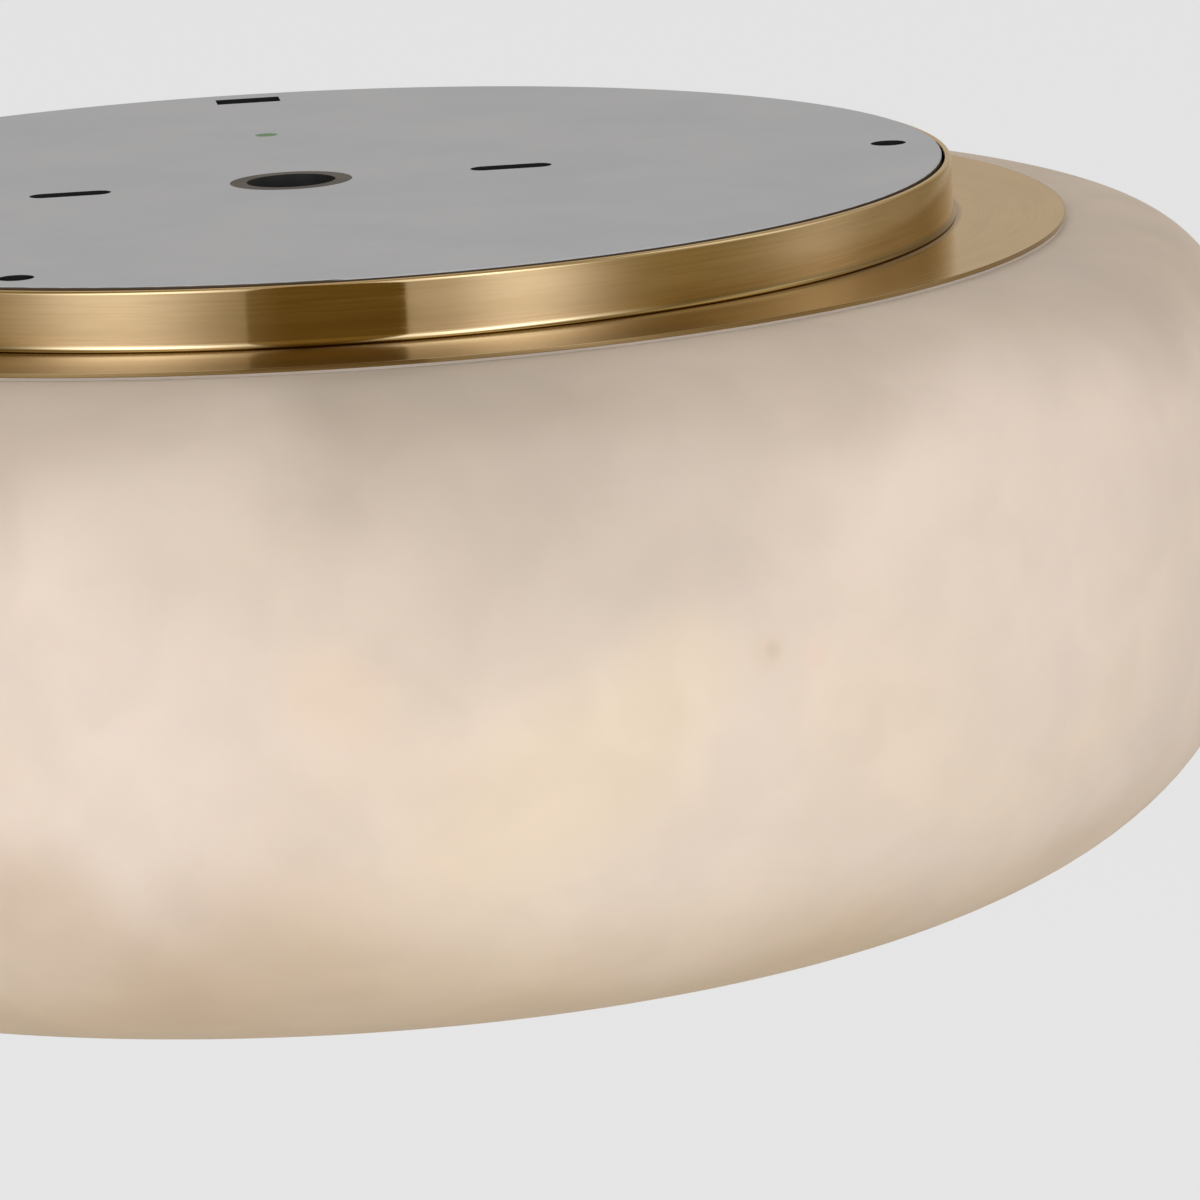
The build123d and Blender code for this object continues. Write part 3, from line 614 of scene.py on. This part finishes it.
class Finishes:
    """Every finish of the light, by the record's material slot."""

    def __init__(self) -> None:
        """List the finishes. A material is built when it is first used."""
        self.made: dict[str, Material] = {}
        zinc = {"metallic": 1.0, "grain": 2200.0, "spread": 0.14}
        listed = (
            SkinFinish("plate_paint", (0.457, 0.46, 0.472), (0.437, 0.44, 0.452), 0.6,
                       # The plate's upright edges take painted shade, with a brown painted reflection of the
                       # brass on its rim.
                       grain=1500.0, bump=0.08, edge_painted_shade=(0.07, 0.045, 0.02)),
            # Brass of band and flange, which carries the painted highlight, shade and reflection of
            # CanopyTones.
            BrushedFinish("brushed_brass", (0.76, 0.555, 0.285), (0.68, 0.49, 0.24), 0.105, 1.0,
                          tones=CanopyTones()),
            BrushedFinish("plain_brass", (0.76, 0.58, 0.28), (0.7, 0.52, 0.24), 0.25, 0.3),
            SkinFinish("zinc_steel", (0.62, 0.63, 0.66), (0.5, 0.51, 0.54), 0.34, **zinc),
            SkinFinish("green_metal", (0.06, 0.36, 0.14), (0.04, 0.26, 0.1), 0.35, **zinc),
            BrushedFinish("pan_aluminium", grey(0.78), grey(0.72), 0.3, 0.6, 1500.0),
            SkinFinish("board_white", (0.85, 0.85, 0.83), (0.8, 0.8, 0.78), 0.35),
            SkinFinish("emitter_yellow", (0.85, 0.66, 0.12), (0.8, 0.6, 0.1), 0.3),
            SkinFinish("opal_acrylic", (0.9, 0.9, 0.88), (0.87, 0.87, 0.85), 0.4, translucent=0.6),
            SkinFinish("white_plastic", grey(0.82), grey(0.78), 0.45, grain=2500.0, bump=0.1),
            SkinFinish("block_plastic", (0.8, 0.8, 0.74), (0.75, 0.75, 0.7), 0.5, bump=0.1),
            SkinFinish("black_plastic", grey(0.025), grey(0.035), 0.45, bump=0.1),
            SkinFinish("pale_silicone", (0.6, 0.52, 0.44), (0.56, 0.48, 0.4), 0.6, bump=0.05,
                       translucent=0.3),
            SkinFinish("dark_rubber", (0.04, 0.035, 0.03), (0.06, 0.055, 0.05), 0.7, bump=0.15),
            SkinFinish("lead_dark", grey(0.03), grey(0.045), 0.4),
            SkinFinish("lead_green", (0.05, 0.3, 0.08), (0.06, 0.35, 0.1), 0.4),
        )
        self.known = {"alabaster": Alabaster(), **{finish.name: finish for finish in listed}}

    def get(self, slot: str) -> Material:
        """The material of a slot in the record, built once."""
        if slot not in self.made:
            self.made[slot] = self.known[slot].material()
        return self.made[slot]

    def dress(self, piece: Object, slot: str) -> None:
        """Give a CAD node's object the finish of a slot in the record."""
        piece.data.materials.clear()
        piece.data.materials.append(self.get(slot))


@dataclass
class Corner:
    """One corner of a turned outline, in millimetres, with the radius that rounds it."""

    r: float
    z: float
    fillet: float = 0.0


def fillet_points(before: Corner, corner: Corner, after: Corner) -> list[Vector]:
    """Points of a rounded corner, with a support point on each side.

    Args:
        before: The corner before it.
        corner: The corner itself.
        after: The corner after it.

    Returns:
        Points of radius and height in millimetres.
    """
    here = Vector((corner.r, corner.z))
    if not corner.fillet:
        return [here]
    back = (Vector((before.r, before.z)) - here).normalized()
    ahead = (Vector((after.r, after.z)) - here).normalized()
    half = back.angle(ahead) / 2
    reach = corner.fillet / math.tan(half)
    centre = here + (back + ahead).normalized() * (corner.fillet / math.sin(half))
    start, end = here + back * reach, here + ahead * reach
    steps, support = 8, 0.08 * corner.fillet
    first, last = start - centre, end - centre
    turn = first.angle_signed(last)
    points = [start + back * support]
    for i in range(steps + 1):
        points.append(centre + Matrix.Rotation(-turn * i / steps, 2) @ first)
    return points + [end + ahead * support]


def arc_points(centre: Pair, radius: float, start: float, end: float) -> list[Vector]:
    """Points along an arc, from one angle in degrees to another."""
    steps = 10
    turns = [math.radians(start + (end - start) * i / steps) for i in range(steps + 1)]
    return [Vector((centre[0] + radius * math.cos(t), centre[1] + radius * math.sin(t))) for t in turns]


def outline_points(corners: list[Corner]) -> list[Vector]:
    """A closed outline with its rounded corners, as points of radius and height."""
    count = len(corners)
    return [p for i, c in enumerate(corners)
            for p in fillet_points(corners[i - 1], c, corners[(i + 1) % count])]


class Lathe:
    """A geometry node tree that turns an outline round Z and drills holes on a circle."""

    SEGMENTS, BIT_FACES = 512, 32

    def __init__(self) -> None:
        """Build the tree once."""
        self.tree = bpy.data.node_groups.new("turn_and_drill", "GeometryNodeTree")
        self.tree.is_modifier = True
        face = self.tree.interface
        face.new_socket(name="Geometry", in_out="OUTPUT", socket_type="NodeSocketGeometry")
        wanted = (("Outline", "NodeSocketGeometry", None), ("Points", "NodeSocketInt", 8),
                  ("Segments", "NodeSocketInt", 64), ("Holes", "NodeSocketInt", 0),
                  ("Hole Circle", "NodeSocketFloat", 0.1), ("Hole Radius", "NodeSocketFloat", 0.001),
                  ("Hole Middle", "NodeSocketFloat", 0.0), ("Hole Depth", "NodeSocketFloat", 0.01),
                  ("Finish", "NodeSocketMaterial", None))
        self.ids = {}
        for name, kind, value in wanted:
            socket = face.new_socket(name=name, in_out="INPUT", socket_type=kind)
            if value is not None:
                socket.default_value = value
            self.ids[name] = socket.identifier
        self.wire(Graph(self.tree))

    def wire(self, graph: Graph) -> None:
        """Place and link the nodes.

        Args:
            graph: The tree's graph.
        """
        given = graph.put("NodeGroupInput").outputs
        rows = graph.math("ADD", given["Points"], 1.0)
        columns = graph.math("ADD", given["Segments"], 1.0)
        grid = graph.put("GeometryNodeMeshGrid", {"Size X": 1.0, "Size Y": 1.0, "Vertices X": rows,
                                                  "Vertices Y": columns})
        parts = graph.split(graph.put("GeometryNodeInputPosition"))
        row = graph.math("ROUND", graph.times(graph.math("ADD", parts[0], 0.5), given["Points"]))
        step = graph.math("MODULO", row, given["Points"])
        turn = graph.times(graph.math("ADD", parts[1], 0.5), math.tau)
        point = graph.put("GeometryNodeSampleIndex", data_type="FLOAT_VECTOR", domain="POINT")
        graph.feed(point, {"Geometry": given["Outline"], "Value": graph.put("GeometryNodeInputPosition"),
                           "Index": step})
        sample = graph.split(point)
        place = graph.put("ShaderNodeCombineXYZ", {
            0: graph.times(sample[0], graph.math("COSINE", turn)),
            1: graph.times(sample[0], graph.math("SINE", turn)), 2: sample[2]})
        turned = graph.put("GeometryNodeSetPosition", {"Geometry": grid, "Position": place})
        closed = graph.put("GeometryNodeMergeByDistance", {"Geometry": turned, "Distance": 1e-6})
        circle = graph.put("GeometryNodeMeshCircle", {"Vertices": given["Holes"],
                                                      "Radius": given["Hole Circle"]})
        bit = graph.put("GeometryNodeMeshCylinder", {
            "Vertices": self.BIT_FACES, "Radius": given["Hole Radius"], "Depth": given["Hole Depth"]})
        lift = graph.put("ShaderNodeCombineXYZ", {2: given["Hole Middle"]})
        bits = graph.put("GeometryNodeInstanceOnPoints", {"Points": circle, "Instance": bit})
        bits = graph.put("GeometryNodeTransform", {"Geometry": bits, "Translation": lift})
        bits = graph.put("GeometryNodeRealizeInstances", {0: bits})
        drilled = graph.put("GeometryNodeMeshBoolean", operation="DIFFERENCE", solver="EXACT")
        graph.feed(drilled, {"Mesh 1": closed, "Mesh 2": bits})
        choose = graph.put("GeometryNodeSwitch", {"Switch": graph.math("GREATER_THAN", given["Holes"], 0.5),
                                                  "False": closed, "True": drilled},
                           input_type="GEOMETRY")
        plain = graph.put("GeometryNodeRealizeInstances", {0: choose})
        dressed = graph.put("GeometryNodeSetMaterial", {"Geometry": plain, "Material": given["Finish"]})
        graph.join(dressed, graph.put("NodeGroupOutput").inputs[0])

    def turn(self, name: str, points: list[Vector], finish: Material, holes: dict | None = None,
             segments: int = 0) -> Object:
        """Turn one piece.

        Args:
            name: The piece's name.
            points: Closed outline of radius and height in millimetres.
            finish: Its material.
            holes: Values of the hole inputs, in metres.
            segments: Faces round the axis.

        Returns:
            The finished piece, a plain mesh at the origin.
        """
        mesh = bpy.data.meshes.new(name + "_outline")
        edges = [(i, (i + 1) % len(points)) for i in range(len(points))]
        mesh.from_pydata([(p.x * MM, 0.0, p.y * MM) for p in points], edges, [])
        source = bpy.data.objects.new(name + "_outline", mesh)
        bpy.context.scene.collection.objects.link(source)
        modifier = source.modifiers.new("turn", "NODES")
        modifier.node_group = self.tree
        values = {"Points": len(points), "Segments": segments or self.SEGMENTS, "Finish": finish,
                  **(holes or {})}
        for key, value in values.items():
            modifier[self.ids[key]] = value
        piece = bake(source, name)
        bpy.data.objects.remove(source)
        return piece


def bake(source: Object, name: str, sharp: float = 32.0) -> Object:
    """Turn an object with modifiers into a plain, closed and smooth mesh piece.

    Args:
        source: The object with its modifiers.
        name: The piece's name.
        sharp: Angle in degrees over which an edge stays sharp.

    Returns:
        The new piece.
    """
    bpy.context.view_layer.update()
    graph = bpy.context.evaluated_depsgraph_get()
    mesh = bpy.data.meshes.new_from_object(source.evaluated_get(graph))
    mesh.name = name
    work = bmesh.new()
    work.from_mesh(mesh)
    bmesh.ops.remove_doubles(work, verts=work.verts, dist=1e-7)
    bmesh.ops.recalc_face_normals(work, faces=work.faces)
    for face in work.faces:
        face.smooth = True
    work.to_mesh(mesh)
    work.free()
    mesh.set_sharp_from_angle(angle=math.radians(sharp))
    piece = bpy.data.objects.new(name, mesh)
    bpy.context.scene.collection.objects.link(piece)
    return piece


def stand_for(piece: Object, node: Replaced) -> None:
    """Hide a piece's CAD node and hang the piece, which stands in its place, on the fixture's body."""
    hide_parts(node.value)
    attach(piece, BODY)
    LOG.info("%s stands for %s, %d faces", piece.name, node.value, len(piece.data.polygons))


@dataclass
class Canopy:
    """Brass band and flange, in millimetres."""

    lip_r: float = 94.0
    bore_r: float = 117.2
    band_r: float = 118.5
    band_top: float = -0.5
    band_foot: float = -11.0
    lip_top: float = -9.7
    flange_r: float = 138.5
    flange_under: float = -11.8
    stone_top: float = -12.3
    gasket_r: float = 138.45
    flare_r: float = 1.3
    nose_r: float = 0.2
    top_round: float = 0.8
    bore_round: float = 0.4
    flange_round: float = 0.1
    clamp_circle: float = 101.0
    clamp_hole_r: float = 2.7
    clamp_count: int = 6
    clear: float = 2.0

    def holes(self, top: float, foot: float) -> dict:
        """Inputs of the clamp screws' holes between two heights."""
        return {"Holes": self.clamp_count, "Hole Circle": self.clamp_circle * MM,
                "Hole Radius": self.clamp_hole_r * MM, "Hole Middle": (top + foot) / 2 * MM,
                "Hole Depth": (top - foot + self.clear) * MM}

    def band(self, lathe: Lathe, finish: Material) -> Object:
        """Turn the band with its inward lip, its rounded top and its flared foot.

        Args:
            lathe: The tree that turns it.
            finish: Its material.

        Returns:
            The piece.
        """
        slope = math.sqrt(0.5)
        nose = (self.band_r + self.flare_r * (1 - slope) - self.nose_r * slope, self.band_foot + self.nose_r)
        flare = (self.band_r + self.flare_r, nose[1] + (self.nose_r + self.flare_r) * slope)
        corners = [Corner(self.band_r, self.band_foot), Corner(self.band_r, self.band_top, self.top_round),
                   Corner(self.bore_r, self.band_top, self.bore_round), Corner(self.bore_r, self.lip_top)]
        points = [Vector((self.lip_r, self.band_foot)), *arc_points(nose, self.nose_r, -90.0, 45.0),
                  *arc_points(flare, self.flare_r, 225.0, 180.0)[1:], *fillet_points(*corners[:3]),
                  *fillet_points(*corners[1:]), Vector((self.bore_r, self.lip_top)),
                  Vector((self.lip_r, self.lip_top))]
        return lathe.turn("brass_band", points, finish, self.holes(self.lip_top, self.band_foot))

    def flange(self, lathe: Lathe, finish: Material) -> Object:
        """Turn the flat flange, as band() turns the band."""
        return self.ring(lathe, "brass_flange", Corner(self.flange_r, self.band_foot, self.flange_round),
                         self.flange_under, finish)

    def gasket(self, lathe: Lathe, finish: Material) -> Object:
        """Turn the pale gasket, which ends just inside the flange's edge."""
        return self.ring(lathe, "edge_gasket", Corner(self.gasket_r, self.flange_under), self.stone_top,
                         finish)

    def ring(self, lathe: Lathe, name: str, edge: Corner, under: float, finish: Material) -> Object:
        """Turn a flat ring with the clamp screws' holes.

        Args:
            lathe: The tree that turns it.
            name: The piece's name.
            edge: Its outer upper corner. The lower one is rounded alike.
            under: Height of its underside.
            finish: Its material.

        Returns:
            The piece.
        """
        corners = [Corner(self.lip_r, under), Corner(edge.r, under, edge.fillet), edge,
                   Corner(self.lip_r, edge.z)]
        return lathe.turn(name, outline_points(corners), finish, self.holes(edge.z, under))

    def build(self, lathe: Lathe, finishes: Finishes) -> None:
        """Make the three pieces and let them stand for their CAD nodes."""
        for make, node, slot in ((self.band, Replaced.BAND, "brushed_brass"),
                                 (self.flange, Replaced.FLANGE, "brushed_brass"),
                                 (self.gasket, Replaced.GASKET, "pale_silicone")):
            stand_for(make(lathe, finishes.get(slot)), node)


@dataclass
class Bowl:
    """The alabaster bowl, in millimetres."""

    mouth_r: float = 88.0
    shoulder_r: float = 136.4
    belly_r: float = 171.5
    foot_r: float = 46.0
    top: float = -12.3
    lip_under: float = -28.3
    equator: float = -61.0
    foot: float = -136.0
    wall: float = 12.0
    floor: float = 14.0
    top_fullness: float = 3.0
    foot_fullness: float = 2.8
    steps: int = 40
    foot_steps: int = 20
    lip_steps: int = 12
    mouth_round: float = 1.5
    insert_count: int = 6
    insert_circle: float = 101.0
    insert_r: float = 4.05
    insert_depth: float = 13.0
    clear: float = 2.0
    segments: int = 256
    lip_supports: Pair = (12.0, 0.5)
    foot_supports: tuple = (0.98, 0.5, 0.0)

    def quarter(self, start: Pair, end: Pair, fullness: float, steps: int) -> list[Vector]:
        """Points along a quarter superellipse that leaves start level and reaches end upright.

        Args:
            start: Radius and height of its level end.
            end: Radius and height of its upright end.
            fullness: The exponent.
            steps: Number of spans.

        Returns:
            Points from start to end.
        """
        points = []
        for i in range(steps + 1):
            turn = math.pi / 2 * i / steps
            across, up = math.sin(turn) ** (2 / fullness), math.cos(turn) ** (2 / fullness)
            points.append(Vector((start[0] + (end[0] - start[0]) * across,
                                  end[1] - (end[1] - start[1]) * up)))
        return points

    def outline(self) -> list[Vector]:
        """The bowl's section.

        Returns:
            Points of radius and height.
        """
        floor, shoulder = self.foot + self.floor, (self.shoulder_r, self.top)
        belly, inner_belly = (self.belly_r, self.equator), (self.belly_r - self.wall, self.equator)
        mouth = (Corner(self.mouth_r, self.top, self.mouth_round),
                 Corner(self.mouth_r, self.lip_under, self.mouth_round))
        out = fillet_points(mouth[1], mouth[0], Corner(*shoulder))
        out += [Vector((self.shoulder_r - step, self.top)) for step in self.lip_supports]
        out += self.quarter(shoulder, belly, self.top_fullness, self.steps)
        out += self.quarter((self.foot_r, self.foot), belly, self.foot_fullness, self.steps)[-2::-1]
        out += [Vector((self.foot_r * share, self.foot)) for share in self.foot_supports]
        out += [Vector((0.0, floor)), Vector((self.foot_r / 2, floor))]
        out += self.quarter((self.foot_r, floor), inner_belly, self.foot_fullness, self.foot_steps)
        out += self.quarter((self.shoulder_r - self.wall, self.lip_under), inner_belly, self.top_fullness,
                            self.lip_steps)[-2::-1]
        return out + fillet_points(Corner(self.shoulder_r, self.lip_under), mouth[1], mouth[0])

    def build(self, lathe: Lathe, finishes: Finishes) -> None:
        """Turn the bowl and let it stand for its CAD node."""
        holes = {"Holes": self.insert_count, "Hole Circle": self.insert_circle * MM,
                 "Hole Radius": self.insert_r * MM,
                 "Hole Middle": (self.top + (self.clear - self.insert_depth) / 2) * MM,
                 "Hole Depth": (self.insert_depth + self.clear) * MM}
        piece = lathe.turn("alabaster_bowl", self.outline(), finishes.get("alabaster"), holes,
                           self.segments)
        stand_for(piece, Replaced.BOWL)


class CarriedNodes:
    """CAD nodes that keep their shape and get their finish here."""

    def build(self, finishes: Finishes) -> None:
        """Dress each node with the finish of its slot in the record."""
        slots = {row["node"]: row["material_slot"] for row in frame["record"]["subparts"]}
        replaced = {node.value for node in Replaced}
        for name, node in sorted(frame["nodes"].items()):
            if name not in replaced:
                finishes.dress(node, slots[name])
                LOG.info("%s keeps its CAD shape in %s", name, slots[name])


@dataclass
class Studio:
    """Camera, lamps and surroundings. Azimuths are degrees from -Y towards +X.

    A box is its azimuth, its half width and its level. A card, boxes, room, back and overhead are
    what glossy skins see, each span between two azimuths or two sines of the elevation.
    """

    camera_place: Place = (-0.12155, -1.77981, 0.26083)
    camera_right: Place = (0.993223, -0.105978, -0.047711)
    camera_up: Place = (0.066501, 0.181546, 0.981131)
    camera_back: Place = (-0.095317, -0.977655, 0.187363)
    lens: float = 300.98
    sensor: float = 36.0
    clip: Pair = (0.05, 50.0)
    backdrop: float = 0.787
    floor_albedo: float = 0.83
    floor_shown: float = 1.0
    floor_z: float = -0.60
    floor_half: float = 6.0
    level_top: float = 0.80
    level_side: float = 0.66
    room: Colour = (0.245, 0.195, 0.100)
    soft: Colour = (1.0, 0.99, 1.11)
    card: Colour = (0.140, 0.092, 0.0215)
    back: Colour = (0.52, 0.445, 0.35)
    card_edges: Pair = (-12.6, 14.4)
    card_blur: float = 0.15
    card_fade: float = 8.0
    card_start: float = 0.72
    back_span: Pair = (135.0, 168.0)
    boxes: tuple = ((-35.5, 16.5, 1.0), (35.0, 13.6, 1.0), (15.5, 6.0, 0.2), (98.5, 15.5, 0.35),
                    (126.0, 12.0, 0.07))
    overhead: Colour = (2.0, 2.2, 2.6)
    overhead_rise: Pair = (0.25, 0.45)
    overhead_fall: Pair = (0.93, 0.8)
    overhead_least: float = 0.05
    key_azimuths: tuple = (("key_left", -36.5), ("key_right", 37.0))
    key_elevation: float = 3.0
    key_distance: float = 2.2
    key_size: Pair = (1.2, 1.0)
    key_power: float = 10.0
    key_aim: float = -0.06

    def camera(self) -> None:
        """Place the camera at the photograph's angle."""
        data = bpy.data.cameras.new("view")
        data.lens, data.sensor_width = self.lens, self.sensor
        data.clip_start, data.clip_end = self.clip
        eye = bpy.data.objects.new("view", data)
        bpy.context.scene.collection.objects.link(eye)
        axes = Matrix((self.camera_right, self.camera_up, self.camera_back)).transposed().to_4x4()
        eye.matrix_world = Matrix.Translation(self.camera_place) @ axes
        bpy.context.scene.camera = eye

    def lamp(self, name: str, azimuth: float) -> None:
        """Place one soft box that looks at the light.

        Args:
            name: Its name.
            azimuth: Degrees from -Y towards +X.
        """
        data = bpy.data.lights.new(name, "AREA")
        data.shape, data.size, data.size_y, data.energy = "RECTANGLE", *self.key_size, self.key_power
        box = bpy.data.objects.new(name, data)
        bpy.context.scene.collection.objects.link(box)
        a, e = math.radians(azimuth), math.radians(self.key_elevation)
        way = Vector((math.sin(a) * math.cos(e), -math.cos(a) * math.cos(e), math.sin(e)))
        box.location = way * self.key_distance + Vector((0, 0, self.key_aim))
        box.rotation_euler = way.to_track_quat("Z", "Y").to_euler()
        box.visible_camera = box.visible_glossy = False

    def shine(self, graph: Graph, way: object) -> object:
        """What glossy skins see: two soft boxes with a dark card between, a warm room and a bright ceiling.

        Args:
            graph: The world's graph.
            way: The direction's socket.

        Returns:
            The colour's socket.
        """
        parts = graph.split(way)
        turn = graph.math("ARCTAN2", parts[0], graph.times(parts[1], -1.0))
        azimuth = graph.math("DEGREES", turn)
        share = 0.0
        for centre, spread, level in self.boxes:
            off = graph.math("DIVIDE", graph.less(azimuth, centre), spread)
            bell = graph.math("EXPONENT", graph.times(graph.times(off, off), -1.0))
            share = graph.math("ADD", share, graph.times(bell, level))
        seen = graph.mix(share, self.room, self.soft)
        behind = graph.spread(graph.math("ABSOLUTE", azimuth), *self.back_span)
        seen = graph.mix(behind, seen, self.back)
        (left, right), blur = self.card_edges, self.card_blur
        card = graph.times(graph.spread(azimuth, left - blur, left + blur),
                           graph.spread(azimuth, right - blur, right + blur, 1.0, 0.0))
        dark = graph.times(card, graph.spread(azimuth, left, left + self.card_fade, self.card_start, 1.0))
        seen = graph.mix(dark, seen, self.card)
        rise = graph.times(graph.spread(parts[2], *self.overhead_rise),
                           graph.spread(parts[2], *self.overhead_fall))
        share = graph.math("ADD", graph.times(share, 1.0 - self.overhead_least), self.overhead_least)
        share = graph.times(graph.times(rise, share), graph.less(1.0, card))
        return graph.mix(share, seen, self.overhead)

    def world(self) -> None:
        """Pale surroundings, and what glossy skins see of the studio."""
        world = bpy.data.worlds.new("studio")
        bpy.context.scene.world = world
        world.use_nodes = True
        graph = Graph(world.node_tree)
        way = graph.put("ShaderNodeTexCoord").outputs["Generated"]
        rise = graph.split(way)[2]
        level = graph.spread(rise, 0.0, 0.9, self.level_side, self.level_top)
        soft = graph.put("ShaderNodeCombineColor", {0: level, 1: level, 2: level})
        rays = graph.put("ShaderNodeLightPath").outputs
        seen = graph.mix(rays["Is Glossy Ray"], soft, self.shine(graph, way))
        colour = graph.mix(rays["Is Camera Ray"], seen, grey(self.backdrop))
        ground = graph.put("ShaderNodeBackground", {"Color": colour, "Strength": 1.0})
        graph.join(ground, graph.put("ShaderNodeOutputWorld").inputs[0])

    def floor(self) -> None:
        """A pale floor well below the light, which can be seen through from below."""
        mesh = bpy.data.meshes.new("floor")
        corners = [(x * self.floor_half, y * self.floor_half, self.floor_z)
                   for x, y in ((-1, -1), (1, -1), (1, 1), (-1, 1))]
        mesh.from_pydata(corners, [], [(0, 1, 2, 3)])
        floor = bpy.data.objects.new("floor", mesh)
        bpy.context.scene.collection.objects.link(floor)
        material, graph, shader, _ = new_material("floor_pale")
        shown = graph.put("ShaderNodeLightPath").outputs["Is Camera Ray"]
        tone = graph.mix(shown, grey(self.floor_albedo), grey(self.floor_shown))
        graph.feed(shader, {"Base Color": tone, "Roughness": 0.9, "Specular IOR Level": 0.0})
        clear = graph.put("ShaderNodeBsdfTransparent")
        under = graph.put("ShaderNodeNewGeometry").outputs["Backfacing"]
        both = graph.put("ShaderNodeMixShader", {0: under, 1: shader, 2: clear})
        out = next(node for node in graph.tree.nodes if node.type == "OUTPUT_MATERIAL")
        graph.join(both, out.inputs[0])
        floor.data.materials.append(material)
        floor.visible_glossy = False

    def build(self) -> None:
        """Set up the whole studio."""
        self.camera()
        for name, azimuth in self.key_azimuths:
            self.lamp(name, azimuth)
        self.world()
        self.floor()
        bpy.context.scene.view_settings.view_transform = "Standard"
        LOG.info("studio ready")


def main() -> None:
    """Build the light and its studio."""
    logging.basicConfig(level=logging.INFO, format="%(name)s: %(message)s")
    finishes, lathe = Finishes(), Lathe()
    Studio().build()
    CarriedNodes().build(finishes)
    Canopy().build(lathe, finishes)
    Bowl().build(lathe, finishes)


if __name__ == "__main__":
    main()
